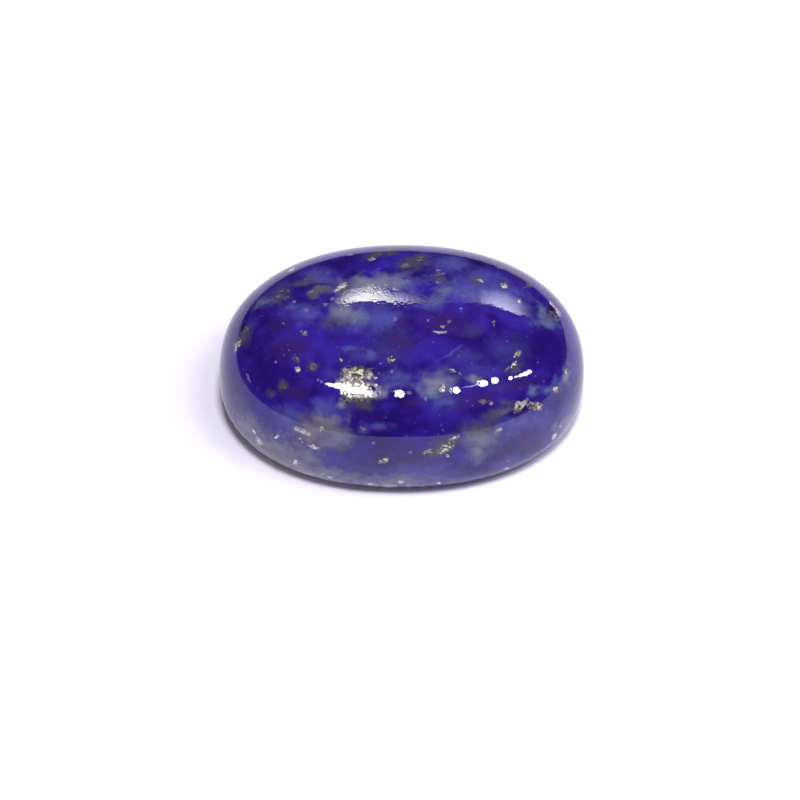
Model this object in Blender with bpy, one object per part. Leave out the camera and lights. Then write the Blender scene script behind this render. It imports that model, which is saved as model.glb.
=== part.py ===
"""Lapis lazuli: a polished oval cabochon with a flat back, in metres.

The stone lies on its back, which is at z = 0 with its centre at the origin. Its long axis is +X and
its dome points up, along +Z.
"""

import math

import bmesh
import bpy

MM = 0.001

# Driving dimensions of the stone
LENGTH = 18.0 * MM
WIDTH = 13.0 * MM
HEIGHT = 6.6 * MM
WIDEST_HEIGHT = 1.5 * MM  # the dome starts here, and below it the side curves back in
EDGE_HEIGHT = 0.3 * MM  # the lower edge of the side, where the bevel under the stone starts
EDGE_INSET = 0.33 * MM  # how far the lower edge is inside the widest line
BACK_INSET = 0.6 * MM  # how far the edge of the back is inside the widest line
OUTLINE_FULLNESS = 2.16  # 2 is an ellipse, and more is fuller between the ends and the sides
DOME_FULLNESS = 2.7  # the same for the dome's section: fuller shoulders than a half ellipse

# Fineness of the mesh
AROUND = 120
SIDE_RINGS = 4
DOME_RINGS = 30

# Colour and finish, read as one even tone of the blue
LAPIS_BLUE = (0.022, 0.014, 0.160, 1.0)
POLISH_ROUGHNESS = 0.12


def clear_scene():
    for obj in list(bpy.data.objects):
        bpy.data.objects.remove(obj, do_unlink=True)


def named_collection(name):
    collection = bpy.data.collections.new(name)
    bpy.context.scene.collection.children.link(collection)
    return collection


def lapis_material():
    material = bpy.data.materials.new("lapis")
    material.use_nodes = True
    shader = material.node_tree.nodes["Principled BSDF"]
    shader.inputs["Base Color"].default_value = LAPIS_BLUE
    shader.inputs["Roughness"].default_value = POLISH_ROUGHNESS
    shader.inputs["Metallic"].default_value = 0.0
    return material


def fuller(value, fullness):
    """A cosine or sine turned into the coordinate of a superellipse, with its sign kept."""
    return math.copysign(abs(value) ** (2 / fullness), value)


def inset_ring(inset, height):
    """(half length, half width, height) of a ring that lies inside the widest line by the inset."""
    return LENGTH / 2 - inset, WIDTH / 2 - inset, height


def section_rings():
    """The rings of the stone, from the edge of the back up the side and the dome to near the top."""
    yield inset_ring(BACK_INSET, 0.0)
    for ring in range(SIDE_RINGS + 1):
        below = 1 - ring / SIDE_RINGS
        yield inset_ring(
            EDGE_INSET * below**2, WIDEST_HEIGHT - (WIDEST_HEIGHT - EDGE_HEIGHT) * below
        )
    for ring in range(1, DOME_RINGS):
        angle = math.pi / 2 * ring / DOME_RINGS
        share = fuller(math.cos(angle), DOME_FULLNESS)
        rise = fuller(math.sin(angle), DOME_FULLNESS)
        height = WIDEST_HEIGHT + (HEIGHT - WIDEST_HEIGHT) * rise
        yield LENGTH / 2 * share, WIDTH / 2 * share, height


def back_face(bm, half_length, half_width):
    """The flat back as one face: a circle pushed out to a full oval. Gives its ring of edges."""
    bmesh.ops.create_circle(bm, cap_ends=True, segments=AROUND, radius=1.0)
    for vert in bm.verts:
        vert.co.x = half_length * fuller(vert.co.x, OUTLINE_FULLNESS)
        vert.co.y = half_width * fuller(vert.co.y, OUTLINE_FULLNESS)
    return list(bm.edges)


def raise_ring(bm, edges, grow_x, grow_y, rise):
    """Extrudes a ring of edges up by rise and scales it. Gives the new ring of edges."""
    raised = bmesh.ops.extrude_edge_only(bm, edges=edges)["geom"]
    verts = [item for item in raised if isinstance(item, bmesh.types.BMVert)]
    bmesh.ops.scale(bm, vec=(grow_x, grow_y, 1), verts=verts)
    bmesh.ops.translate(bm, vec=(0, 0, rise), verts=verts)
    return [item for item in raised if isinstance(item, bmesh.types.BMEdge)]


def close_top(bm, edges):
    """Fills the last small ring with a fan of triangles that meet at the full height."""
    face = bmesh.ops.contextual_create(bm, geom=edges)["faces"][0]
    middle = bmesh.ops.poke(bm, faces=[face])["verts"][0]
    middle.co = (0, 0, HEIGHT)


def cabochon_mesh():
    """The flat back, the bevel, the side and the dome, as one closed skin."""
    bm = bmesh.new()
    section = section_rings()
    half_length, half_width, height = next(section)
    ring = back_face(bm, half_length, half_width)
    for next_length, next_width, next_height in section:
        grow_x = next_length / half_length
        grow_y = next_width / half_width
        ring = raise_ring(bm, ring, grow_x, grow_y, next_height - height)
        half_length, half_width, height = next_length, next_width, next_height
    close_top(bm, ring)
    bmesh.ops.recalc_face_normals(bm, faces=bm.faces)
    mesh = bpy.data.meshes.new("cabochon")
    bm.to_mesh(mesh)
    bm.free()
    mesh.shade_smooth()
    mesh.set_sharp_from_angle(angle=math.radians(30))
    return mesh


def cabochon(collection):
    stone = bpy.data.objects.new("cabochon", cabochon_mesh())
    stone.data.materials.append(lapis_material())
    collection.objects.link(stone)
    return stone


clear_scene()
cabochon(named_collection("lapis_lazuli"))
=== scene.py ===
# %% [markdown]
# Lapis lazuli is a rock: deep blue lazurite with pale calcite clouds and grains of brassy pyrite.
# This one is cut as a cabochon, a polished dome on a flat back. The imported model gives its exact
# solid. This lesson makes the smooth stone that is seen, the rock's pattern and the light that
# shows its polish.

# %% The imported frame
import math
import random

import bmesh
import bpy
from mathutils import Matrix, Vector
from mathutils.bvhtree import BVHTree


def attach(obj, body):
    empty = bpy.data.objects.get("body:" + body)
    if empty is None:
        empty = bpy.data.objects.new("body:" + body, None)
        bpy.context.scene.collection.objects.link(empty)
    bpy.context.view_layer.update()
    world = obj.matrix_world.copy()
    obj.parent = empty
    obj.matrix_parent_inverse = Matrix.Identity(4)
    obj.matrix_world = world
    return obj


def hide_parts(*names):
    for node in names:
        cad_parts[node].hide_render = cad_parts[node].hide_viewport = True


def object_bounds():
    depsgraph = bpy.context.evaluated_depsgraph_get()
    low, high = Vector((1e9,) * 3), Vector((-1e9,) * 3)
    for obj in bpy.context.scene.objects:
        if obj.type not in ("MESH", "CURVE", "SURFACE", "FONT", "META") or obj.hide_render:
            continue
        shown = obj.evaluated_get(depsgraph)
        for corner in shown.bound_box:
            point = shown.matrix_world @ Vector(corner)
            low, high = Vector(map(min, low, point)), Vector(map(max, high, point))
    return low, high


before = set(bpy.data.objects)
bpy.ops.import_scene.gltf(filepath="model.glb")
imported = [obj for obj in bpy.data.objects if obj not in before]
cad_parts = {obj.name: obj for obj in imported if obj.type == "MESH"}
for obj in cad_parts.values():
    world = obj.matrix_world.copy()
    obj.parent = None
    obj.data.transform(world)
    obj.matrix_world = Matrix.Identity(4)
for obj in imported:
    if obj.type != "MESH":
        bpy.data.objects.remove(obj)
CAD_LOW, CAD_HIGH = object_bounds()
MM = 0.001
LENGTH, WIDTH, HEIGHT = (CAD_HIGH - CAD_LOW) / MM
print(f"stone {LENGTH:.1f} x {WIDTH:.1f} x {HEIGHT:.1f} mm")

# %% [markdown]
# The photograph looks down on the stone from its front, at about 50 degrees, through a long lens.
# A camera 150 mm away with a narrow field of view gives the same weak perspective. It is made
# first, because the marks in the rock and the lamps are placed through its eyes. It is aimed a
# little below the stone's middle, because the stone sits a little above the middle of the
# picture. Lengths here and in the next cells are in mm, and MM turns them into Blender's metres.

# %% Camera
PICTURE = 800
SENSOR = 36.0
FOCAL_PIXELS = 3039.6
CAMERA_RISE = math.radians(49.7)
CAMERA_DISTANCE = 150.0
LOOK_AT = Vector((0, 0, 2.0))
LOOK_AT_PIXEL = (401.7, 368.2)
NEAREST_SEEN = 1
FARTHEST_SEEN = 5000

towards_camera = Vector((0, -math.cos(CAMERA_RISE), math.sin(CAMERA_RISE)))
picture_up = Vector((0, math.sin(CAMERA_RISE), math.cos(CAMERA_RISE)))
picture_right = Vector((1, 0, 0))
camera_spot = LOOK_AT + towards_camera * CAMERA_DISTANCE
PIXEL = CAMERA_DISTANCE / FOCAL_PIXELS
off_right = (LOOK_AT_PIXEL[0] - PICTURE / 2) * PIXEL
off_up = (PICTURE / 2 - LOOK_AT_PIXEL[1]) * PIXEL
aim = LOOK_AT - picture_right * off_right - picture_up * off_up

camera_data = bpy.data.cameras.new("portrait")
camera_data.sensor_width = SENSOR
camera_data.lens = FOCAL_PIXELS / PICTURE * SENSOR
camera_data.clip_start = NEAREST_SEEN * MM
camera_data.clip_end = FARTHEST_SEEN * MM
camera = bpy.data.objects.new("portrait", camera_data)
camera.location = camera_spot * MM
camera.rotation_mode = "QUATERNION"
camera.rotation_quaternion = (aim - camera_spot).to_track_quat("-Z", "Y")
bpy.context.scene.collection.objects.link(camera)
bpy.context.scene.camera = camera
print(f"lens {camera_data.lens:.1f} mm, one pixel is {PIXEL:.3f} mm")

# %% [markdown]
# A cabochon is ground from a flat-backed blank. Its side is widest a little above the back, where
# the dome starts, and curves in below. A small bevel keeps the edge of the back from chipping. A
# squashed sphere would be too round for it, so the stone is built from rings, each an oval at its
# own height, as the solid in the frame is, but with many more of them.

# %% Section of the stone
WIDEST_HEIGHT = 1.5
EDGE_HEIGHT = 0.3
EDGE_INSET = 0.33
BACK_INSET = 0.6
OUTLINE_FULLNESS = 2.16
DOME_FULLNESS = 2.7
AROUND = 360
SIDE_RINGS = 8
DOME_RINGS = 96


def fuller(value, fullness):
    """A cosine or sine turned into the coordinate of a superellipse, with its sign kept."""
    return math.copysign(abs(value) ** (2 / fullness), value)


def inset_ring(inset, height):
    """(half length, half width, height) of a ring inside the widest line by the inset."""
    return LENGTH / 2 - inset, WIDTH / 2 - inset, height


def dome_ring(angle):
    """The ring of the dome at an angle above its widest line."""
    share = fuller(math.cos(angle), DOME_FULLNESS)
    rise = fuller(math.sin(angle), DOME_FULLNESS)
    return LENGTH / 2 * share, WIDTH / 2 * share, WIDEST_HEIGHT + (HEIGHT - WIDEST_HEIGHT) * rise


section = [inset_ring(BACK_INSET, 0.0)]
for step in range(SIDE_RINGS + 1):
    below = 1 - step / SIDE_RINGS
    height = WIDEST_HEIGHT - (WIDEST_HEIGHT - EDGE_HEIGHT) * below
    section.append(inset_ring(EDGE_INSET * below**2, height))
section += [dome_ring(math.pi / 2 * step / DOME_RINGS) for step in range(1, DOME_RINGS)]
print(len(section), "rings")

# %% [markdown]
# A solid could be lofted from a list of corners, but extruding is closer to what a modeller does by
# hand: draw the oval of the back, pull its edge up to the next ring, scale it, and go on to the
# top. A bevel then rounds the sharp edge of the back. The edge of the side is blunt, so smooth
# shading is enough for it.

# %% Growing the stone
EDGE_ROUND = 0.05
SHARP_FROM = math.radians(30)
LEVEL_WITHIN = 1e-6


def oval_back(bm, half_length, half_width):
    """The flat back as one face. Gives its ring of edges."""
    bmesh.ops.create_circle(bm, cap_ends=True, segments=AROUND, radius=1.0)
    for vert in bm.verts:
        vert.co.x = half_length * fuller(vert.co.x, OUTLINE_FULLNESS)
        vert.co.y = half_width * fuller(vert.co.y, OUTLINE_FULLNESS)
    return list(bm.edges)


def next_ring(bm, edges, here, there):
    """Extrudes a ring of edges from one (half length, half width, height) to the next."""
    raised = bmesh.ops.extrude_edge_only(bm, edges=edges)["geom"]
    verts = [item for item in raised if isinstance(item, bmesh.types.BMVert)]
    bmesh.ops.scale(bm, vec=(there[0] / here[0], there[1] / here[1], 1), verts=verts)
    bmesh.ops.translate(bm, vec=(0, 0, there[2] - here[2]), verts=verts)
    return [item for item in raised if isinstance(item, bmesh.types.BMEdge) and is_level(item)]


def is_level(edge):
    first, second = edge.verts
    return abs(first.co.z - second.co.z) < LEVEL_WITHIN


def mesh_object(name, bm):
    mesh = bpy.data.meshes.new(name)
    bm.to_mesh(mesh)
    obj = bpy.data.objects.new(name, mesh)
    bpy.context.scene.collection.objects.link(obj)
    return obj


bm = bmesh.new()
ring = oval_back(bm, *section[0][:2])
back_edge = ring
for here, there in zip(section, section[1:]):
    ring = next_ring(bm, ring, here, there)
top = bmesh.ops.contextual_create(bm, geom=ring)["faces"][0]
bmesh.ops.poke(bm, faces=[top])["verts"][0].co.z = HEIGHT
bmesh.ops.bevel(
    bm, geom=back_edge, affect="EDGES", offset=EDGE_ROUND, segments=2, profile=0.5, material=-1
)
bmesh.ops.recalc_face_normals(bm, faces=bm.faces)
skin = BVHTree.FromBMesh(bm)
bmesh.ops.scale(bm, vec=(MM, MM, MM), verts=bm.verts)
stone = mesh_object("polished_stone", bm)
bm.free()
stone.data.shade_smooth()
stone.data.set_sharp_from_angle(angle=SHARP_FROM)
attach(stone, "root")
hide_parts("cabochon")
print(len(stone.data.polygons), "faces")

# %% [markdown]
# A shader is a net of nodes. Written out one by one, the nodes hide the idea, so a small class
# holds one output of a node, and plus, minus and times on it add Math nodes. Everything else comes
# from one method, which takes the node's type, its settings, what goes into its sockets and which
# output is wanted.

# %% A shader in plain expressions
COLOUR_RESULT = 2


class Wire:
    """One output of a node, to use in an expression."""

    def __init__(self, tree, socket=None):
        self.tree = tree
        self.socket = socket

    def node(self, kind, settings=None, sockets=None, output=0):
        new = self.tree.nodes.new(kind)
        for name, value in (settings or {}).items():
            if name == "stops":
                set_stops(new.color_ramp, value)
            else:
                setattr(new, name, value)
        for name, value in (sockets or {}).items():
            if isinstance(value, Wire):
                self.tree.links.new(value.socket, new.inputs[name])
            else:
                new.inputs[name].default_value = value
        return Wire(self.tree, new.outputs[output] if new.outputs else None)

    def maths(self, operation, first, second):
        return self.node("ShaderNodeMath", {"operation": operation}, {0: first, 1: second})

    def __add__(self, other):
        return self.maths("ADD", self, other)

    __radd__ = __add__

    def __mul__(self, other):
        return self.maths("MULTIPLY", self, other)

    __rmul__ = __mul__

    def __sub__(self, other):
        return self.maths("SUBTRACT", self, other)

    def __rsub__(self, other):
        return self.maths("SUBTRACT", other, self)

    def smaller(self, other):
        return self.maths("MINIMUM", self, other)

    def larger(self, other):
        return self.maths("MAXIMUM", self, other)


def set_stops(ramp, stops):
    """Gives a colour ramp its stops: (place, colour) from left to right."""
    while len(ramp.elements) < len(stops):
        ramp.elements.new(1.0)
    for element, (place, colour) in zip(ramp.elements, stops):
        element.position = place
        element.color = (*colour, 1.0)


print("Wire is ready")

# %% [markdown]
# The clouds and grains of this stone are where the photograph shows them. Each is a rough ball in
# the rock, given by the pixel at its middle, its half width and half height in pixels, and its
# turn in degrees. A ray from the camera finds where on the stone that pixel is. All balls are
# written in the picture's own axes: right, up, and towards the camera. The pattern reads Object
# coordinates, so it stays in the rock when the stone is turned.

# %% From pixels to places in the rock
BALL_DEPTH = 2.5


def ray_through(pixel_x, pixel_y):
    """The direction from the camera through a pixel of the picture."""
    seen = Vector((pixel_x - PICTURE / 2, PICTURE / 2 - pixel_y, -FOCAL_PIXELS))
    return (camera.rotation_quaternion @ seen).normalized()


def on_stone(pixel_x, pixel_y):
    """Where a pixel of the picture falls on the stone, in mm."""
    return skin.ray_cast(camera_spot, ray_through(pixel_x, pixel_y))[0]


def in_picture_axes(spot):
    return Vector((spot.x, spot.dot(picture_up), spot.dot(towards_camera)))


def balls(places):
    """(middle, radii, turn) of each mark, in mm, from its pixels."""
    made = []
    for pixel_x, pixel_y, half_width, half_height, turn in places:
        spot = on_stone(pixel_x, pixel_y)
        if spot is None:
            print("off the stone:", pixel_x, pixel_y)
            continue
        size = PIXEL * (camera_spot - spot).length / CAMERA_DISTANCE
        depth = BALL_DEPTH * max(half_width, half_height)
        radii = Vector((half_width, half_height, depth)) * size
        made.append((in_picture_axes(spot), radii, turn))
    return made


print("the middle of the picture falls on the stone at", on_stone(PICTURE / 2, PICTURE / 2))

# %% [markdown]
# Calcite shows as clouds of several kinds: thin veils, grey and light blue clouds, a few that are
# teal, brown or olive. The olive ones hold pyrite too, painted dark as painted shade where it
# mirrors the dark room. Between them the blue has patches of its own: violet, night blue and royal
# blue.
# They could be left to a noise, but then they would fall anywhere. So each kind is a short list of
# marks: (x, y, half width, half height, turn).

# %% Calcite clouds, as the photograph shows them
VEILS = (
    (470, 330, 11, 6, 0), (392, 341, 12, 5, 0), (400, 333, 8, 11, 0), (500, 386, 12, 5, 0),
    (330, 375, 9, 6, 0), (262, 450, 34, 18, -42), (296, 462, 26, 12, -25), (345, 474, 50, 9, -6),
    (405, 479, 50, 8, 2), (524, 428, 32, 13, 18), (483, 289, 34, 13, -8), (378, 286, 36, 10, 0),
    (450, 266, 24, 9, -5), (372, 318, 26, 15, 0), (440, 378, 24, 11, 10), (546, 320, 18, 9, 0),
    (316, 277, 22, 9, 5), (343, 314, 17, 15, 20), (553, 392, 12, 8, 35), (330, 411, 22, 8, 0),
    (288, 424, 12, 14, 0), (482, 440, 30, 16, 10), (566, 410, 9, 26, -20), (425, 466, 20, 5, 5),
    (303, 311, 20, 8, 12), (466, 357, 16, 7, 0), (400, 384, 12, 5, 0), (360, 357, 18, 8, 0),
    (430, 305, 14, 5, 0), (508, 350, 18, 12, 0), (512, 371, 12, 6, 10), (442, 402, 18, 8, 0),
    (276, 292, 14, 8, 20), (392, 350, 24, 12, 0), (478, 372, 20, 8, 5), (240, 400, 8, 26, 15),
    (574, 370, 4, 28, 0),
)
GREY_CLOUDS = (
    (376, 284, 32, 8, 3), (344, 312, 11, 11, 40), (440, 384, 9, 6, 0), (437, 384, 14, 9, 8),
    (480, 439, 17, 8, 8), (477, 453, 9, 8, 0), (338, 440, 14, 9, 10), (382, 390, 5, 5, 0),
    (262, 449, 32, 12, -40), (290, 462, 20, 10, -25), (567, 424, 5, 11, -30), (566, 376, 4, 9, 0),
    (330, 473, 34, 6, -12), (395, 481, 34, 4, 2), (332, 420, 10, 6, 0),
    (302, 470, 32, 10, -22), (248, 428, 12, 12, -45), (282, 450, 24, 10, -20),
    (308, 455, 13, 7, -10), (320, 290, 8, 3, 32), (322, 420, 9, 5, 0), (474, 380, 6, 3, 0),
    (342, 402, 3.5, 3, 0),
)
BLUE_CLOUDS = (
    (362, 317, 12, 13, 0), (382, 317, 12, 14, 0), (306, 315, 10, 6, 15), (292, 308, 11, 3, 12),
    (484, 278, 15, 9, 0), (466, 288, 16, 9, 0), (285, 418, 12, 12, 0), (326, 408, 12, 7, 0),
    (430, 305, 12, 4, -5), (453, 352, 11, 1.6, 32), (398, 378, 14, 6, 0), (383, 392, 6, 5, 0),
    (520, 423, 22, 8, 14), (351, 350, 6, 3, 0), (371, 356, 6, 5, 0), (420, 384, 8, 5, 0),
    (508, 462, 14, 5, 22), (415, 474, 30, 7, 0), (500, 292, 26, 9, -12), (320, 412, 7, 7, 0),
    (364, 429, 6, 4, 0), (396, 385, 10, 4, 0), (379, 427, 11, 3.5, 0), (553, 380, 4.5, 4.5, 20),
    (320, 277, 11, 5, 5), (447, 401, 10, 5, 10), (450, 264, 16, 6, -5),
)
TEAL_CLOUDS = (
    (442, 292, 11, 7, 38), (541.5, 310, 4.5, 8, 0), (547, 323, 13, 5, -8), (266, 302, 11, 4, 20),
    (547, 389, 5, 3.5, 40), (534, 391, 5, 5, 0), (430, 392, 9, 5, 0), (268, 446, 6, 4, 0),
    (402, 285, 7, 9, 0), (362, 317, 7, 8, 0), (556, 427, 5, 5, 0),
)
BROWN_CLOUDS = (
    (315, 431, 20, 13, 0), (331, 427, 12, 9, 0), (312, 438, 12, 8, 0), (278, 459, 15, 9, -30),
    (505, 411, 8, 3, 15),
)
# Olive clouds are calcite with pyrite, painted dark as painted shade where the pyrite mirrors the
# dark room.
OLIVE_CLOUDS = (
    (281, 296, 12, 7, 25), (319, 291, 12, 5, 32), (414, 262, 18, 8, 24), (244, 335, 6, 13, -24),
    (337, 323, 14, 5, 0), (373, 257, 11, 4, 15), (440, 279, 6, 7, 0), (284, 386, 5, 5, 0),
    (272, 394, 4, 4, 0), (480, 281, 7, 5, 0), (504, 283, 5, 6, 0), (440, 447, 17, 8, 28),
    (305, 283, 16, 5, 20), (361, 402, 12, 8, 0), (551, 314, 7, 5, -30), (345, 287, 9, 4, 30),
    (312, 364, 5, 5, 0), (557, 389, 6, 5, 0), (388, 252, 12, 2.5, 10), (496, 415, 16, 6, 22),
    (479, 428, 16, 9, 10), (516, 368, 6, 4, 45), (508, 402, 8, 3, 0),
)
VIOLET_PATCHES = (
    (278, 325, 10, 9, 0), (292, 348, 20, 12, 0), (480, 401, 20, 9, 5), (406, 324, 6, 5, 0),
    (446, 322, 24, 12, 0), (296, 392, 14, 8, 0), (410, 347, 16, 9, 0), (520, 384, 18, 6, 10),
    (395, 338, 12, 9, 0), (532, 440, 16, 6, 20), (372, 414, 20, 4, 0), (411, 402, 8, 4, 0),
    (505, 449, 14, 5, 10), (565, 345, 3, 16, 0), (520, 276, 10, 6, -30), (408, 458, 22, 8, 0),
)
NIGHT_PATCHES = (
    (272, 372, 12, 16, -20), (251, 345, 8, 20, 0), (406, 427, 26, 7, 0), (444, 430, 20, 9, 5),
    (374, 413, 16, 5, 0), (546, 344, 18, 16, 0), (542, 361, 14, 4, 0), (345, 262, 24, 6, 10),
    (472, 262, 20, 5, -14), (266, 320, 10, 12, 0), (482, 409, 16, 5, 5), (400, 415, 20, 6, 0),
    (385, 440, 22, 8, 0), (360, 436, 12, 4, 0),
)
ROYAL_PATCHES = (
    (386, 266, 14, 7, 20), (322, 402, 14, 5, -5), (417, 287, 12, 8, 0), (385, 406, 9, 6, 0),
    (264, 406, 14, 14, -20), (428, 352, 24, 9, 10), (335, 459, 16, 5, 0), (398, 256, 12, 4, 0),
    (330, 462, 18, 6, -8), (463, 456, 16, 8, 0), (360, 262, 14, 5, 15),
)
clouds = VEILS + GREY_CLOUDS + BLUE_CLOUDS + TEAL_CLOUDS + BROWN_CLOUDS + OLIVE_CLOUDS
print(len(clouds), "clouds")

# %% [markdown]
# The grains are small and sharp. Pyrite is brown and dull, painted dark where it mirrors the dark
# room, which is painted shade. It is gold where a facet shows, with the facets' light and shade
# painted in, and in one place a crowd of fine grains. Glint grains are painted glints, almost
# white, pale ones are single dots of calcite, and flecks are dark spots of painted shade in small
# pits.

# %% Grains, as the photograph shows them
# Dull pyrite: brown, and painted dark as painted shade where it mirrors the dark room.
DULL_GRAINS = (
    (281, 292, 4, 1.8, 20), (277, 297, 4, 2, 20), (286, 298, 4, 2, 30), (296, 359, 4.5, 2.5, -40),
    (507, 369, 3.5, 1.5, 45), (539, 409, 4, 3, -30), (405, 266, 6, 3, 25), (420, 259, 6, 3, 25),
    (379, 253.5, 5, 2.5, 25), (288, 291, 3, 3, 20), (310, 293, 4, 2.5, 30), (246, 329, 3, 5, -15),
    (239, 341, 4, 7, -20), (313, 366, 4, 3.5, -40), (304, 333, 5, 2.4, -25), (439, 274, 4, 3, 0),
    (500.5, 267.5, 4, 2, 0), (529, 285.5, 3, 2.5, 40), (552, 312, 3, 5, -30),
    (556.5, 318, 4, 3, 0), (284, 386.5, 2.5, 2.5, 0), (364, 429, 4, 3, 0), (516, 411, 4, 3, 0),
    (564, 371, 3, 4, 0), (346, 399, 8, 5, 0), (443, 387, 4, 3, 0), (448, 446, 9, 5, 30),
    (436, 452, 9, 3, 12), (484, 402, 6, 2, 0), (479, 379, 5, 2, 0), (360, 399, 12, 3, -5),
)
PYRITE_CROWD = (
    (357, 374, 17, 8, 0), (356, 385, 20, 8, -8), (358, 393, 19, 5.5, -8),
)
# Brassy pyrite whose facets carry painted light and shade, from dark brown to cream glints.
GOLD_GRAINS = (
    (349, 395.5, 6, 2.6, -10), (519.5, 405.5, 4.5, 4.5, 0), (535, 406, 8, 4, -10),
    (372, 259, 4, 1.8, 20), (238, 345, 2, 6, -20), (303, 332, 2, 1.2, 0), (391, 359, 3.6, 3.3, 45),
    (341, 360, 1.6, 1.6, 0), (300.5, 440, 3.6, 1.6, -40), (321.7, 428.5, 2.5, 1.8, 45),
    (453, 370.8, 3.6, 2, -25), (459.7, 373.6, 1.7, 1.5, 0), (518, 354, 4.5, 2.8, 45),
    (514, 363.8, 4.4, 1.4, 45), (491.7, 403.6, 2, 1.6, 0), (565.5, 371.5, 2.2, 2.8, 0),
    (555.8, 389.7, 3, 3, 0), (427.8, 451.4, 4.6, 2, 15), (443.3, 451.2, 4.6, 2.7, 15),
    (446, 444.7, 3.8, 1.8, 25), (451.4, 446.5, 2.5, 1.3, 25), (452.2, 439.7, 5, 2.2, 30),
    (458, 436.4, 2.2, 1, 30), (447.8, 456.4, 2.2, 1.8, 0), (385.5, 460.5, 2.5, 2.8, 0),
    (380, 461.8, 2.2, 1.4, 0), (560.5, 425.3, 1.3, 2.6, 0), (494, 324, 1.2, 3.2, 0),
    (519.5, 300.5, 2.4, 1.8, 0),
)
# Painted glints: grains painted almost white where a facet throws a lamp's light back.
GLINT_GRAINS = (
    (236.3, 347, 1.4, 4.5, -15), (298, 369.3, 2.3, 2.7, 0), (303, 431.5, 8.5, 2.2, -22),
    (313.5, 447, 5.2, 1.4, -15), (276.4, 437, 3.2, 1.2, 15), (259.5, 441.5, 4.6, 2.4, -55),
    (254, 431.7, 1.4, 2.6, 20), (296, 429, 1.8, 2.4, 0), (295.5, 463.5, 3.4, 2, 0),
    (295.5, 461, 1.5, 2.2, 0), (313.5, 476.5, 2.8, 1.8, 0), (322.8, 474.3, 1.6, 1.3, 0),
    (330, 477.4, 2.4, 1.5, 0), (370.8, 484, 3.2, 1.9, 0), (400.5, 481.8, 2.6, 1.4, 0),
    (438.9, 483.4, 2, 1.2, 0), (504, 285.8, 2.6, 2.4, 0), (479.5, 280.2, 3.2, 1.2, -25),
    (340.5, 287, 7, 2, 30), (292, 269.8, 3.5, 1.2, 30), (557.5, 311.5, 1.6, 5, 28),
    (551.5, 304, 1.1, 4, 40), (524.3, 403.3, 1.8, 5, -40), (498.8, 430.3, 3.3, 1.5, 30),
    (554.4, 436, 2, 3.4, -15), (441.5, 389.5, 2.4, 2.4, 0), (443.5, 386, 1.8, 1.8, 0),
    (507, 468.3, 2.6, 1, 20), (565.4, 371, 1.4, 1.4, 0), (556, 389.3, 1.6, 1.8, 0),
    (368, 287.5, 4, 1.2, 0), (379, 292.5, 3, 1, -25), (370, 295.5, 4, 1, 30),
    (442.5, 326.5, 2, 1.3, -15), (440, 332, 6, 1.2, -4), (376, 385.5, 2.2, 1.4, 0),
    (345, 371, 1.8, 1.6, 0), (349, 377, 2, 1.6, 0), (343, 380, 2.2, 1.6, 0),
    (375, 378, 1.6, 1.3, 0), (341.5, 393, 1.6, 1.2, 0),
)
# Single dots of calcite. A few, on the edge of the pale band and beside the lamp streak, are
# painted glints.
PALE_GRAINS = (
    (306.3, 310.3, 1.7, 1.9, 0), (508, 461.2, 2.3, 1.2, 10), (242.6, 416.5, 1.3, 1.5, 0),
    (248.3, 420.3, 1.4, 2.2, 20), (425.5, 398.5, 1.8, 1.8, 0), (238.2, 415.3, 1.1, 1.7, 0),
    (322, 382, 1.3, 1.1, -30), (332, 298.8, 1.7, 1.9, 0), (354.5, 320.5, 1.4, 1.4, 0),
    (395, 319, 1.5, 1.4, 0), (325.5, 304.5, 2, 1.8, 0), (391.8, 371.5, 1.4, 1.4, 0),
    (294, 301.4, 1.8, 1.5, 0), (364, 429, 1.8, 1.2, 0), (318, 379.5, 1.5, 0.8, -30),
    (449, 321.6, 2, 1.6, 0), (460.6, 309, 1.4, 1.6, 0), (373, 443.4, 1.8, 1.2, 0),
    (428, 320.4, 1.4, 1.4, 0), (248.5, 377.5, 1, 5, 25), (275.7, 361.9, 1.2, 1.2, 0),
    (283.3, 323.6, 1, 1.2, 0), (438, 282.4, 2, 1.3, 0), (438.5, 270.4, 3, 0.9, -10),
    (410.5, 452.6, 1.9, 1.4, 0), (345, 474, 1.4, 1.1, 0), (444, 273.2, 2, 0.9, -25),
    (378, 389, 1.8, 2.2, 0), (409, 393, 2.5, 1.6, 0), (350, 255, 3, 1, 10),
)
# Painted shade: dark spots in small pits and on facets turned from the light.
DARK_FLECKS = (
    (523.8, 408.8, 1.4, 5, -40), (551.5, 308.5, 2.4, 4.5, 30), (498.9, 303.2, 1.1, 1.2, 0),
    (501, 301.5, 0.8, 0.8, 0), (530.5, 405.5, 1.3, 2.2, -20), (557, 437.5, 1.1, 2.6, -15),
    (262.5, 446.5, 2, 1.2, -50), (243.5, 327, 1.2, 5, -25), (370, 386.5, 1.6, 1.6, 0),
    (357, 375, 1.5, 2, 0), (364, 379, 1.3, 2, 0), (564.5, 341, 1.3, 1.6, 0),
    (400, 250.5, 10, 0.9, 0), (372, 298.6, 3, 1, 0),
)
print(len(GOLD_GRAINS + GLINT_GRAINS + PALE_GRAINS + DULL_GRAINS), "grains")

# %% [markdown]
# The photograph doesn't show the far side and the back of the stone. The rock goes on there, so
# seeded chance scatters clouds and grains of the same kinds and sizes over them. A ray from
# outside finds the surface, and only spots that face away from the camera are kept.

# %% Clouds and grains on the hidden sides
SEED = 18
HEART = Vector((6, 3, 3))
HEART_LOW = 0.5
OUTSIDE = 40
FACES_AWAY = -0.08
TURNS = (0, 20, -20, 40, -40, 70)
LONGEST = 2.2
chance = random.Random(SEED)


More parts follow.
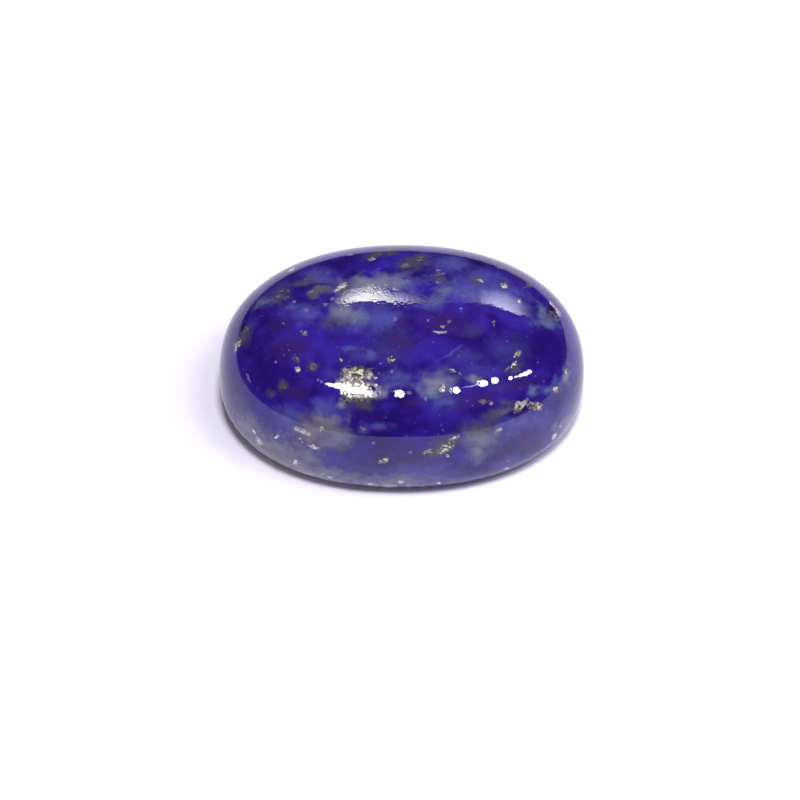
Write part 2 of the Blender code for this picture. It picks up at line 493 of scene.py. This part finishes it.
def hidden_spot():
    """A spot on the stone that the camera can't see, met by a ray towards the stone's heart."""
    while True:
        way = Vector([chance.gauss(0, 1) for _axis in range(3)]).normalized()
        middle = Vector((
            chance.uniform(-HEART.x, HEART.x),
            chance.uniform(-HEART.y, HEART.y),
            chance.uniform(HEART_LOW, HEART.z),
        ))
        spot, normal, _face, _distance = skin.ray_cast(middle + way * OUTSIDE, -way)
        if spot and normal.dot(towards_camera) < FACES_AWAY:
            return spot


def hidden_balls(count, smallest, largest):
    """Balls at hidden spots, with radii from the smallest to the largest, in mm, or longer."""
    made = []
    for _ball in range(count):
        size = chance.uniform(smallest, largest)
        radii = Vector((size * chance.uniform(1, LONGEST), size, size * chance.uniform(1, LONGEST)))
        made.append((in_picture_axes(hidden_spot()), radii, chance.choice(TURNS)))
    return made


grey_clouds = balls(GREY_CLOUDS) + hidden_balls(12, 0.4, 1.0)
blue_clouds = balls(BLUE_CLOUDS) + hidden_balls(12, 0.4, 0.9)
teal_clouds = balls(TEAL_CLOUDS) + hidden_balls(6, 0.3, 0.6)
brown_clouds = balls(BROWN_CLOUDS) + hidden_balls(6, 0.4, 0.8)
olive_clouds = balls(OLIVE_CLOUDS) + hidden_balls(8, 0.3, 0.5)
veils = balls(VEILS) + hidden_balls(12, 0.6, 1.2)
violet_patches = balls(VIOLET_PATCHES) + hidden_balls(8, 0.4, 0.8)
royal_patches = balls(ROYAL_PATCHES) + hidden_balls(8, 0.4, 0.9)
night_patches = balls(NIGHT_PATCHES) + hidden_balls(8, 0.4, 0.9)
pyrite_crowd = balls(PYRITE_CROWD)
dull_grains = balls(DULL_GRAINS) + hidden_balls(14, 0.12, 0.35)
gold_grains = balls(GOLD_GRAINS) + hidden_balls(34, 0.06, 0.2)
glint_grains = balls(GLINT_GRAINS) + hidden_balls(20, 0.04, 0.1)
pale_grains = balls(PALE_GRAINS) + hidden_balls(16, 0.04, 0.09)
dark_flecks = balls(DARK_FLECKS)
print(len(grey_clouds), "grey clouds and", len(glint_grains), "bright grains in all")

# %% [markdown]
# The blue of the rock isn't one colour. One noise alone would give blotches of one size, so a
# large and a small one are added up and read through a colour ramp, from a dark violet to a clear
# royal blue. The picture's axes come from one Mapping node, so that the marks can use them.

# %% The blue of the rock
BROAD_BLOTCHES = 2.4
SMALL_BLOTCHES = 0.7
BROAD_SHARE = 0.55
DARK_VIOLET = (0.0125, 0.004, 0.094)
DEEP_BLUE = (0.0175, 0.0055, 0.153)
MIDDLE_BLUE = (0.0265, 0.0100, 0.208)
ROYAL_BLUE = (0.030, 0.017, 0.300)


def noise(point, size, detail, output="Fac"):
    """Soft noise with blotches of about the size in mm, around 0.5."""
    sockets = {"Vector": point, "Scale": 1 / size, "Detail": detail}
    return point.node("ShaderNodeTexNoise", {"noise_dimensions": "3D"}, sockets, output)


lapis = bpy.data.materials.new("lapis")
lapis.use_nodes = True
lapis.node_tree.nodes.clear()
start = Wire(lapis.node_tree)
rock = start.node("ShaderNodeTexCoord", output="Object")
rock = rock.node("ShaderNodeVectorMath", {"operation": "SCALE"}, {0: rock, "Scale": 1 / MM})
seen_turn = {"Vector": rock, "Rotation": (CAMERA_RISE - math.pi / 2, 0, 0)}
picture = rock.node("ShaderNodeMapping", {"vector_type": "POINT"}, seen_turn)

broad = noise(rock, BROAD_BLOTCHES, detail=2.0)
small = noise(rock, SMALL_BLOTCHES, detail=3.0)
tone = BROAD_SHARE * broad + (1 - BROAD_SHARE) * small
stops = ((0.36, DARK_VIOLET), (0.46, DEEP_BLUE), (0.54, MIDDLE_BLUE), (0.66, ROYAL_BLUE))
blue = tone.node("ShaderNodeValToRGB", {"stops": stops}, {0: tone}, "Color")
print("blue ramp of", len(stops), "tones")

# %% [markdown]
# What lies in the rock has uneven edges. They could be drawn point by point, but noise does it
# with less: it pushes the point about before the distance to each ball is taken. That distance is
# the one to a plain sphere after the point is turned and squeezed, so a stretched and turned ball
# costs only two or three nodes.

# %% Ragged balls and layers
CLOUD_LOBES = 1.1
CLOUD_RAGGED = 0.40
EDGE_LOBES = 0.3
EDGE_RAGGED = 0.12


def slope(value, start, end):
    """Goes smoothly from 0 at start to 1 at end. It falls where start is the larger."""
    return value.node(
        "ShaderNodeMapRange", {"interpolation_type": "SMOOTHSTEP"}, {0: value, 1: start, 2: end}
    )


def lay_over(below, above, mask):
    """The colour above where the mask is 1, and the colour below where it is 0."""
    return mask.node(
        "ShaderNodeMix",
        {"data_type": "RGBA"},
        {0: mask, 6: opaque(below), 7: opaque(above)},
        COLOUR_RESULT,
    )


def opaque(colour):
    return colour if isinstance(colour, Wire) else (*colour, 1.0)


def vector_maths(operation, *values, output="Vector"):
    """A Vector Math node on the values, the first of which is a wire."""
    return values[0].node(
        "ShaderNodeVectorMath", {"operation": operation}, dict(enumerate(values)), output
    )


def jostled(point, size, reach, detail):
    """The point pushed about by noise, by up to about the reach each way."""
    push = vector_maths("SUBTRACT", noise(point, size, detail, "Color"), (0.5,) * 3)
    return vector_maths("MULTIPLY_ADD", push, (2 * reach,) * 3, point)


def nearest(point, marks):
    """How near the point is to a mark: 0 at a middle, 1 on a surface and more outside."""
    quarter_turned = vector_maths("CROSS_PRODUCT", point, (0, 0, 1))
    result = None
    for middle, (wide, high, deep), turn in marks:
        cosine, sine = math.cos(math.radians(turn)), math.sin(math.radians(turn))
        shift = (
            -(middle.x * cosine + middle.y * sine) / wide,
            -(middle.y * cosine - middle.x * sine) / high,
            -middle.z / deep,
        )
        squeeze = (cosine / wide, cosine / high, 1 / deep)
        away = vector_maths("MULTIPLY_ADD", point, squeeze, shift)
        if turn:
            shear = (sine / wide, sine / high, 0)
            away = vector_maths("MULTIPLY_ADD", quarter_turned, shear, away)
        away = vector_maths("LENGTH", away, output="Value")
        result = result.smaller(away) if result else away
    return result


ragged = jostled(picture, CLOUD_LOBES, CLOUD_RAGGED, detail=3.0)
ragged = jostled(ragged, EDGE_LOBES, EDGE_RAGGED, detail=2.0)
print(f"edges pushed about by up to {CLOUD_RAGGED + EDGE_RAGGED:.2f} mm")

# %% [markdown]
# Calcite lies in the blue as soft clouds, mottled inside. A painted picture could carry them, but
# it would fit one side only, and clouds in the rock itself fit all. Each kind gets its own colour,
# reach and strength: first the veils and the patches of other blues, then the calcite over them.

# %% The clouds in the rock
VEIL_BLUE = (0.048, 0.043, 0.225)
VIOLET_BLUE = (0.034, 0.013, 0.118)
NIGHT_BLUE = (0.0130, 0.0040, 0.120)
BLUE_CALCITE = (0.070, 0.075, 0.320)
TEAL_CALCITE = (0.095, 0.125, 0.255)
GREY_CALCITE = (0.160, 0.165, 0.250)
BROWN_CALCITE = (0.165, 0.150, 0.175)
# Olive calcite and pyrite, with painted shade for pyrite that mirrors the dark room.
SHADED_OLIVE_MIX = (0.068, 0.064, 0.082)
MOTTLES = 0.45
MOTTLED = 1.7
FULL_INSIDE = -0.2

mottle = noise(rock, MOTTLES, detail=3.0)
uneven = MOTTLED * (mottle - 0.5)


def cloud_mask(marks, reach, strength):
    """Where a kind of cloud is: full at its middles, fading to nothing at its reach, mottled."""
    return slope(nearest(ragged, marks) + uneven, reach, FULL_INSIDE) * strength


colour = lay_over(blue, VEIL_BLUE, cloud_mask(veils, reach=2.0, strength=0.65))
colour = lay_over(colour, VIOLET_BLUE, cloud_mask(violet_patches, reach=1.9, strength=0.9))
colour = lay_over(colour, ROYAL_BLUE, cloud_mask(royal_patches, reach=1.9, strength=0.85))
colour = lay_over(colour, NIGHT_BLUE, cloud_mask(night_patches, reach=1.9, strength=0.85))
colour = lay_over(colour, BLUE_CALCITE, cloud_mask(blue_clouds, reach=1.9, strength=0.8))
colour = lay_over(colour, TEAL_CALCITE, cloud_mask(teal_clouds, reach=1.8, strength=0.95))
cloudy = cloud_mask(grey_clouds, reach=1.9, strength=1.0)
colour = lay_over(colour, GREY_CALCITE, cloudy)
colour = lay_over(colour, BROWN_CALCITE, cloud_mask(brown_clouds, reach=1.8, strength=0.9))
# Painted shade: the olive mix is darkened where its pyrite mirrors the dark room.
colour = lay_over(colour, SHADED_OLIVE_MIX, cloud_mask(olive_clouds, reach=1.7, strength=0.85))
print("nine kinds of cloud and patch laid over the blue")

# %% [markdown]
# Fine specks of calcite are scattered all over the rock, where the small noise lets them. Each is
# the middle of a Voronoi cell. Pyrite is brassy, and each grain is a small crowd of facets, so a
# finer set of Voronoi cells gives every facet its own tone.

# %% Specks and facets
GRAIN_LOBES = 0.18
GRAIN_RAGGED = 0.09
SPECK_SPACING = 0.34
SPECK_EDGE = (0.2, 0.04)
SPECKS_WHERE = (0.47, 0.64)
SPECK_VIOLET = (0.13, 0.10, 0.28)
FACET = 0.11

crumbled = jostled(picture, GRAIN_LOBES, GRAIN_RAGGED, detail=1.0)


def cells(point, size, output):
    """Voronoi cells of about the size in mm."""
    sockets = {"Vector": point, "Scale": 1 / size}
    return point.node("ShaderNodeTexVoronoi", {"feature": "F1"}, sockets, output)


specks = slope(cells(crumbled, SPECK_SPACING, "Distance"), *SPECK_EDGE)
colour = lay_over(colour, SPECK_VIOLET, specks * slope(small, *SPECKS_WHERE))
facets = cells(rock, FACET, "Color")
facet_tone = facets.node("ShaderNodeSeparateColor", {"mode": "RGB"}, {0: facets}, 0)
print(f"specks {SPECK_SPACING} mm apart and facets of {FACET} mm")

# %% [markdown]
# A grain's mask falls from 1 to 0 over the two distances of its edge, measured in its own radii.
# Dull grains are brown and half hidden, painted dark as shade where the pyrite mirrors the dark
# room.
# Gold ones go from brown to cream, the facets' light and shade painted in, and glint ones are
# painted glints, almost white where a facet would throw a lamp's light straight back. The crowd is
# broken up facet by facet.

# %% The grains in the rock
DULL_EDGE = (1.25, 0.5)
DULL_MOTTLED = 1.2
DULL_STRENGTH = 0.8
DULL_TONES = ((0.0, (0.025, 0.020, 0.045)), (0.5, (0.075, 0.068, 0.085)), (1.0, (0.20, 0.18, 0.15)))
PALE_EDGE = (1.5, 0.5)
PALE_STRENGTH = 0.9
PALE_VIOLET = (0.155, 0.13, 0.35)
GOLD_EDGE = (1.3, 0.7)
CROWD_EDGE = (1.15, 0.8)
CROWD_BY_FACET = 0.7
CROWD_MOTTLED = 0.6
# The cream tones are painted glints and the dark tones painted shade on the brassy facets.
GOLD_TONES = (
    (0.0, (0.022, 0.018, 0.04)), (0.35, (0.10, 0.088, 0.09)), (0.62, (0.28, 0.255, 0.215)),
    (0.88, (0.66, 0.62, 0.50)),
)
GLINT_EDGE = (1.5, 0.6)
# Tones of the painted glints.
GLINT_TONES = ((0.0, (0.17, 0.155, 0.21)), (0.5, (0.33, 0.31, 0.36)), (1.0, (0.68, 0.65, 0.69)))
FLECK_EDGE = (1.2, 0.8)
FLECK_STRENGTH = 0.85
FLECK = (0.012, 0.006, 0.020)


def toned(stops):
    """The facets' tones, read through a ramp of colours, which paints in their light and shade."""
    return facet_tone.node("ShaderNodeValToRGB", {"stops": stops}, {0: facet_tone}, "Color")


# Painted shade: dull pyrite darkened where it mirrors the dark room.
dull = slope(nearest(crumbled, dull_grains) + DULL_MOTTLED * (mottle - 0.5), *DULL_EDGE)
colour = lay_over(colour, toned(DULL_TONES), dull * DULL_STRENGTH)
pale = slope(nearest(crumbled, pale_grains), *PALE_EDGE)
colour = lay_over(colour, PALE_VIOLET, pale * PALE_STRENGTH)
# Gold pyrite, with the light and shade of each facet painted in.
gold = slope(nearest(crumbled, gold_grains), *GOLD_EDGE)
crowd = nearest(crumbled, pyrite_crowd)
crowd = crowd + CROWD_BY_FACET * (facet_tone - 0.5) + CROWD_MOTTLED * uneven
gold = gold.larger(slope(crowd, *CROWD_EDGE))
colour = lay_over(colour, toned(GOLD_TONES), gold)
# Painted glints, almost white.
glint = slope(nearest(crumbled, glint_grains), *GLINT_EDGE)
colour = lay_over(colour, toned(GLINT_TONES), glint)
# Painted shade in pits and on dark facets.
fleck = slope(nearest(crumbled, dark_flecks), *FLECK_EDGE)
colour = lay_over(colour, FLECK, fleck * FLECK_STRENGTH)
metal = gold.larger(glint)
print("dull, pale, gold and bright grains and dark flecks laid over the clouds")

# %% [markdown]
# The dome is polished like glass. The back is only ground flat, so it is matt, paler and scratched.
# The bevel is paler too. Just above it a pale line is painted on the calcite: a painted highlight
# along the stone's foot. All this goes by the height above the back, which tells the back, the
# bevel and the side apart.

# %% Ground back and painted edge highlight
GROUND_BELOW = (0.05, 0.02)
UNDERSIDE_BELOW = (0.33, 0.27)
EDGE_HIGHLIGHT_BELOW = (0.95, 0.60)
EDGE_HIGHLIGHT_STRENGTH = 0.8
EDGE_HIGHLIGHT_PALE = (0.50, 0.49, 0.56)
BEVEL_STRENGTH = 0.5
BEVEL_PALE = (0.30, 0.27, 0.30)
GROUND_BLUE = (0.10, 0.09, 0.24)
GROUND_STRENGTH = 0.25
SCRATCH_STRENGTH = 0.35
SCRATCH_WAY = (0, 0, 0.5)
SCRATCH_STRETCH = (0.4, 9.0, 1.0)
SCRATCH_SIZE = 0.8

above_back = rock.node("ShaderNodeSeparateXYZ", None, {0: rock}, 2)
ground = slope(above_back, *GROUND_BELOW)
underside = slope(above_back, *UNDERSIDE_BELOW)
# Painted highlight: a pale line on the calcite just above the bevel, along the stone's foot.
painted_edge_highlight = slope(above_back, *EDGE_HIGHLIGHT_BELOW) * cloudy * (1 - underside)
colour = lay_over(colour, EDGE_HIGHLIGHT_PALE, painted_edge_highlight * EDGE_HIGHLIGHT_STRENGTH)
colour = lay_over(colour, BEVEL_PALE, (underside - ground) * BEVEL_STRENGTH)
scratch_axes = {"Vector": rock, "Rotation": SCRATCH_WAY, "Scale": SCRATCH_STRETCH}
scratches = rock.node("ShaderNodeMapping", {"vector_type": "POINT"}, scratch_axes)
scratches = noise(scratches, SCRATCH_SIZE, detail=3.0)
scratched = ground * (GROUND_STRENGTH + SCRATCH_STRENGTH * scratches)
colour = lay_over(colour, GROUND_BLUE, scratched)
print(f"ground below {GROUND_BELOW[0]} mm and paler below {UNDERSIDE_BELOW[0]} mm")

# %% [markdown]
# The soft calcite takes a lower shine than the blue, and the hard pyrite stands a hair proud. That
# makes the edges of the highlights ragged. It is far too fine to be modelled, so a Bump node does
# it, with a height that comes from a fine noise, from the facets and from the scratches of the
# back. A clear coat over the grains keeps their polish.

# %% Polish and finish
POLISH = 0.02
CALCITE_ROUGH = 0.02
GRAIN_ROUGH = 0.30
GROUND_ROUGH = 0.42
WAVE_HEIGHT = 0.0012
WAVE_SIZE = 0.16
CALCITE_WAVES = 4.0
FACET_HEIGHT = 8.0
SCRATCH_DEPTH = 12.0
GRAIN_METAL = 0.35
GLASSY = 1.5

rough = POLISH + CALCITE_ROUGH * cloudy + GRAIN_ROUGH * metal + GROUND_ROUGH * ground
waves = noise(rock, WAVE_SIZE, detail=1.0) * (1 + CALCITE_WAVES * cloudy)
height = waves + FACET_HEIGHT * metal * facet_tone
height = height + SCRATCH_DEPTH * ground * scratches
bump = height.node(
    "ShaderNodeBump", None, {"Strength": 1.0, "Distance": WAVE_HEIGHT * MM, "Height": height}
)
shader_sockets = {
    "Base Color": colour,
    "Roughness": rough,
    "Metallic": GRAIN_METAL * metal,
    "Coat Weight": metal,
    "Coat Roughness": POLISH,
    "IOR": GLASSY,
    "Normal": bump,
}
shader = start.node("ShaderNodeBsdfPrincipled", None, shader_sockets)
start.node("ShaderNodeOutputMaterial", None, {"Surface": shader})
stone.data.materials.append(lapis)
print(len(lapis.node_tree.nodes), "nodes")

# %% [markdown]
# The stone lies on a white sheet that the photograph shows as pure white. The sheet is a plain
# grid with a matt paper finish. Its far edge matters: the pale band round the stone is the sheet's
# reflection in the steep side, and the band ends where the stone starts to mirror the dark room
# beyond the sheet. On the left the band fades out, so the sheet is longer there and its colour is
# darkened bit by bit, as painted shade where the light falls off. Its colour is darkened a little
# to the back too, also painted shade. It lies a hair above the stone's flat back, so that the back
# is what shows from below.

# %% Sheet
SHEET_HALF = 120
SHEET_LEFT = 300
SHEET_LIFT = 0.01
PAPER_WHITE = (0.835, 0.82, 0.96)
PAPER_SHADE = (0.03, 0.03, 0.04)
LEFT_FADE = (-40 * MM, -220 * MM)
BACK_FADE = (20 * MM, 110 * MM)
BACK_DARKER = 0.4

sheet_bm = bmesh.new()
bmesh.ops.create_grid(sheet_bm, x_segments=1, y_segments=1, size=SHEET_HALF * MM)
bmesh.ops.translate(sheet_bm, vec=(0, 0, SHEET_LIFT * MM), verts=sheet_bm.verts)
left = [vert for vert in sheet_bm.verts if vert.co.x < 0]
bmesh.ops.translate(sheet_bm, vec=((SHEET_HALF - SHEET_LEFT) * MM, 0, 0), verts=left)
sheet = mesh_object("sheet", sheet_bm)
sheet_bm.free()
paper = bpy.data.materials.new("paper")
paper.use_nodes = True
paper.node_tree.nodes.clear()
flat = Wire(paper.node_tree)
place = flat.node("ShaderNodeTexCoord", output="Object")
to_the_right = flat.node("ShaderNodeSeparateXYZ", None, {0: place}, 0)
to_the_back = flat.node("ShaderNodeSeparateXYZ", None, {0: place}, 1)
# Painted shade: the paper's colour darkens to the left and a little to the back.
white = lay_over(PAPER_WHITE, PAPER_SHADE, slope(to_the_right, *LEFT_FADE))
white = lay_over(white, PAPER_SHADE, BACK_DARKER * slope(to_the_back, *BACK_FADE))
paper_sockets = {"Base Color": white, "Roughness": 0.9, "Specular IOR Level": 0.0}
sheet_shader = flat.node("ShaderNodeBsdfPrincipled", None, paper_sockets)
flat.node("ShaderNodeOutputMaterial", None, {"Surface": sheet_shader})
sheet.data.materials.append(paper)
print(f"sheet {SHEET_HALF + SHEET_LEFT} mm long and {2 * SHEET_HALF} mm wide")

# %% [markdown]
# Every highlight in the photograph is the mirror image of a lamp. So each lamp is drawn through the
# mirror: the rays through the highlight's outline leave the camera, meet the stone and bounce off,
# and where they end are the corners of the lamp. The way they bounce needs the exact normal of the
# dome, because the flat faces of the mesh would bend the small spots out of shape.

# %% From highlights to lamps
LAMP_DISTANCE = 400.0


def dome_normal(spot):
    """The normal of the dome: the slope of the two superellipses that it is made of."""
    along, across = 2 * spot.x / LENGTH, 2 * spot.y / WIDTH
    rise = (spot.z - WIDEST_HEIGHT) / (HEIGHT - WIDEST_HEIGHT)
    outline = abs(along) ** OUTLINE_FULLNESS + abs(across) ** OUTLINE_FULLNESS
    pull = outline ** (DOME_FULLNESS / OUTLINE_FULLNESS - 1)
    x = pull * math.copysign(abs(along) ** (OUTLINE_FULLNESS - 1), along) / (LENGTH / 2)
    y = pull * math.copysign(abs(across) ** (OUTLINE_FULLNESS - 1), across) / (WIDTH / 2)
    z = rise ** (DOME_FULLNESS - 1) / (HEIGHT - WIDEST_HEIGHT)
    return Vector((x, y, z)).normalized()


def lamp_point(pixel_x, pixel_y):
    """Where the ray through a pixel ends after the dome has mirrored it, in mm."""
    way = ray_through(pixel_x, pixel_y)
    spot = skin.ray_cast(camera_spot, way)[0]
    return spot + way.reflect(dome_normal(spot)) * LAMP_DISTANCE


def only_in_mirrors(name, bm, radiance):
    """Makes a glowing object of the mesh. Only mirror rays see it, and it lights nothing."""
    bmesh.ops.scale(bm, vec=(MM, MM, MM), verts=bm.verts)
    obj = mesh_object(name, bm)
    bm.free()
    obj.visible_camera = False
    obj.visible_diffuse = False
    obj.visible_shadow = False
    finish = bpy.data.materials.new(name)
    finish.use_nodes = True
    finish.node_tree.nodes.clear()
    lit = Wire(finish.node_tree)
    glow_colour = lit.node("ShaderNodeAttribute", {"attribute_name": "glow"}, None, "Color")
    lit = lit.node("ShaderNodeEmission", None, {"Color": glow_colour, "Strength": radiance})
    lit.node("ShaderNodeOutputMaterial", None, {"Surface": lit})
    obj.data.materials.append(finish)
    print(name, "with", len(obj.data.polygons), "faces")


# %% [markdown]
# The photograph shows a row of small round spots and one long streak. Each lamp is an oval in the
# picture: (x, y, half width, half height, turn, share of the full glow). Overlapping ovals make
# the streak. Real lights would need a place and a size found by trial, and they would light the
# stone as well.

# %% Lamps seen as spots and streaks
LAMP_RADIANCE = 60.0
LAMP_CORNERS = 20
LAMPS = (
    (399.6, 393.8, 5.3, 3.9, 0, 0.5), (456.6, 390.3, 4.0, 3.3, 5, 0.5),
    (483.4, 383.5, 4.8, 3.0, 12, 0.5), (495.0, 380.4, 3.8, 3.3, 10, 0.5),
    (510.3, 378.0, 2.3, 1.8, 10, 0.5), (516.2, 376.6, 1.7, 1.2, 15, 0.5),
    (521.0, 375.3, 3.4, 1.6, 20, 0.5), (525.5, 373.6, 3.4, 2.2, 22, 0.5),
    (529.4, 372.0, 2.8, 2.2, 20, 0.5), (470.0, 386.4, 8.5, 0.7, 9, 0.12),
    (330.0, 384.6, 4.0, 1.5, -12, 0.7), (337.0, 386.2, 5.0, 2.6, -14, 0.8),
    (345.0, 388.2, 6.0, 3.5, -14, 1.0), (355.0, 390.8, 6.0, 3.2, -12, 0.7),
    (365.0, 392.2, 6.0, 2.5, -8, 0.35), (372.0, 392.6, 4.0, 1.8, -8, 0.25),
)

lamps_bm = bmesh.new()
glow = lamps_bm.loops.layers.float_color.new("glow")
for pixel_x, pixel_y, half_width, half_height, turn, share in LAMPS:
    cosine, sine = math.cos(math.radians(turn)), math.sin(math.radians(turn))
    oval = bmesh.ops.create_circle(lamps_bm, cap_ends=True, segments=LAMP_CORNERS, radius=1.0)
    for vert in oval["verts"]:
        wide, high = half_width * vert.co.x, half_height * vert.co.y
        off_x, off_y = wide * cosine - high * sine, wide * sine + high * cosine
        vert.co = lamp_point(pixel_x + off_x, pixel_y - off_y)
    for loop in oval["verts"][0].link_faces[0].loops:
        loop[glow] = (share, share, share, 1.0)
only_in_mirrors("lamps", lamps_bm, LAMP_RADIANCE)

# %% [markdown]
# The broad highlight across the top is a soft panel behind the stone. Its mirror image has a hard
# lower edge and fades upwards. So the panel is a strip of three rows of corners: the first lies on
# the mirrored rays of the hard edge, and the last on those of the fade's end. Each corner has its
# own glow, kept in a colour attribute, and the glow is warmer on the left. A point is written as
# (x, y, strength, height of the fade in pixels).

# %% Panel seen as the upper highlight
PANEL_RADIANCE = 26.0
PANEL_WARM = Vector((0.97, 0.95, 0.80))
PANEL_COOL = Vector((0.86, 0.86, 1.06))
PANEL_POINTS = (
    (334, 302, 0.0, 8), (341, 302, 0.25, 9), (347, 301.5, 0.5, 11), (356, 301, 0.95, 12),
    (370, 300.5, 1.0, 14), (384, 301, 0.7, 13), (392, 302, 0.6, 11), (402, 302.5, 0.4, 11),
    (414, 302.5, 0.16, 11), (428, 302.5, 0.06, 8), (440, 303, 0.03, 10), (462, 303, 0.03, 14),
    (478, 302.5, 0.08, 15), (488, 304, 0.32, 15), (497, 306.5, 0.42, 17), (507, 310.5, 0.46, 19),
    (517, 314, 0.34, 18), (527, 316, 0.08, 15), (534, 316.5, 0.0, 12),
)
PANEL_ROWS = (0.0, 0.5, 1.0)

panel_bm = bmesh.new()
glow = panel_bm.loops.layers.float_color.new("glow")
panel_start, panel_end = PANEL_POINTS[0][0], PANEL_POINTS[-1][0]
glow_of = {}
rows = []
for fade_share in PANEL_ROWS:
    row = []
    for x, y, strength, fade in PANEL_POINTS:
        vert = panel_bm.verts.new(lamp_point(x, y - fade_share * fade))
        tint = PANEL_WARM.lerp(PANEL_COOL, (x - panel_start) / (panel_end - panel_start))
        glow_of[vert] = (*(tint * strength * (1 - fade_share)), 1.0)
        row.append(vert)
    rows.append(row)
edges = [panel_bm.edges.new(pair) for row in rows for pair in zip(row, row[1:])]
bmesh.ops.bridge_loops(panel_bm, edges=edges)
for face in panel_bm.faces:
    for loop in face.loops:
        loop[glow] = glow_of[loop.vert]
only_in_mirrors("soft_panel", panel_bm, PANEL_RADIANCE)

# %% [markdown]
# The lamps and the panel only make highlights. Three soft lights light the sheet and the rock. The
# strongest on the dome is small and almost right overhead, so the side that curves in leaves a
# thin dark line along the stone's foot. One high on the right leaves a faint shadow on the left.
# One below lights the flat back, and the sheet keeps it off everything else. Mirror rays don't see
# them, because the photograph shows no such lights in the stone. The room is dark in the mirror,
# white to the camera, and a weak, warm fill for the matt surfaces.

# %% Soft lights and room
ROOM_PALE = (0.97, 0.97, 1.0)
ROOM_WARM = (1.0, 0.84, 0.82)
ROOM_FILL = 0.25
ROOM_DARK = 0.02
ROOM_SEEN = 1.2


def soft_light(name, size, power, spot):
    """A square light aimed at the stone, in m and W. Mirror rays and the camera don't see it."""
    data = bpy.data.lights.new(name, "AREA")
    data.size = size
    data.energy = power
    obj = bpy.data.objects.new(name, data)
    obj.location = spot
    obj.rotation_mode = "QUATERNION"
    obj.rotation_quaternion = (-spot).to_track_quat("-Z", "Y")
    obj.visible_glossy = False
    obj.visible_camera = False
    bpy.context.scene.collection.objects.link(obj)


soft_light("overhead_light", size=0.11, power=1.98, spot=Vector((0.025, -0.085, 0.50)))
soft_light("side_light", size=0.25, power=1.5, spot=Vector((0.30, -0.05, 0.52)))
soft_light("light_below", size=0.40, power=4.0, spot=Vector((-0.10, -0.30, -0.40)))

world = bpy.data.worlds.new("room")
world.use_nodes = True
world.node_tree.nodes.clear()
room = Wire(world.node_tree)
by_camera = room.node("ShaderNodeLightPath", output="Is Camera Ray")
by_mirror = room.node("ShaderNodeLightPath", output="Is Glossy Ray")
level = (by_camera * (ROOM_SEEN - ROOM_FILL) + ROOM_FILL) * (1 - by_mirror) + ROOM_DARK * by_mirror
tint = lay_over(ROOM_WARM, ROOM_PALE, by_camera)
backdrop = room.node("ShaderNodeBackground", None, {"Color": tint, "Strength": level})
room.node("ShaderNodeOutputWorld", None, {"Surface": backdrop})
bpy.context.scene.world = world
bpy.context.scene.view_settings.view_transform = "Standard"
print("room fill", ROOM_FILL)
